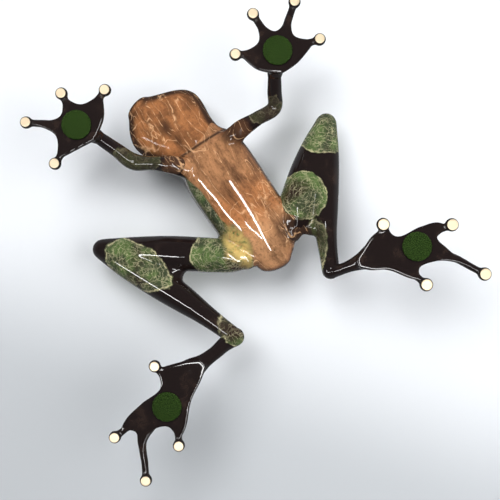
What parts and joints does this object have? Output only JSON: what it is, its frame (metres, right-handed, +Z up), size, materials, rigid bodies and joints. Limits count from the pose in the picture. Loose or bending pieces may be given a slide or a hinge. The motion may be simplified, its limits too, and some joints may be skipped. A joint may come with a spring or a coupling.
{
  "type": "frog figurine",
  "caption": "Cast bronze tree frog in a low sprawl with marbled patina, webbed hands and feet with ball toes, and round felt pads under the soles.",
  "frame": {"origin": "on the surface the frog stands on, under the centre of its bounding box", "axes": "+Z up; the frog faces -Y; its left side is +X"},
  "size_m": [0.1772, 0.1698, 0.0395],
  "materials": {
    "copper_brown_patina": "hot patina over cast bronze, marbled copper brown and dark brown, thick clear lacquer",
    "olive_patina": "hot patina over cast bronze, marbled olive green and near black, thick clear lacquer",
    "dark_brown_patina": "near black brown patina over cast bronze, clear lacquer; bare ground facets at the toe tips",
    "green_felt": "matte pressed wool felt",
    "dark_eye_glass": "glossy dark cabochon"
  },
  "bodies": {
    "root": {"torso": "copper_brown_patina", "head": "copper_brown_patina", "right_arm": "olive_patina", "left_arm": "olive_patina", "right_hand": "dark_brown_patina", "left_hand": "dark_brown_patina", "right_thigh": "olive_patina", "left_thigh": "olive_patina", "right_shin": "olive_patina", "left_shin": "olive_patina", "right_foot": "dark_brown_patina", "left_foot": "dark_brown_patina", "right_hand_pad": "green_felt", "left_hand_pad": "green_felt", "right_foot_pad": "green_felt", "left_foot_pad": "green_felt", "right_eye": "dark_eye_glass", "left_eye": "dark_eye_glass"}
  },
  "joints": []
}
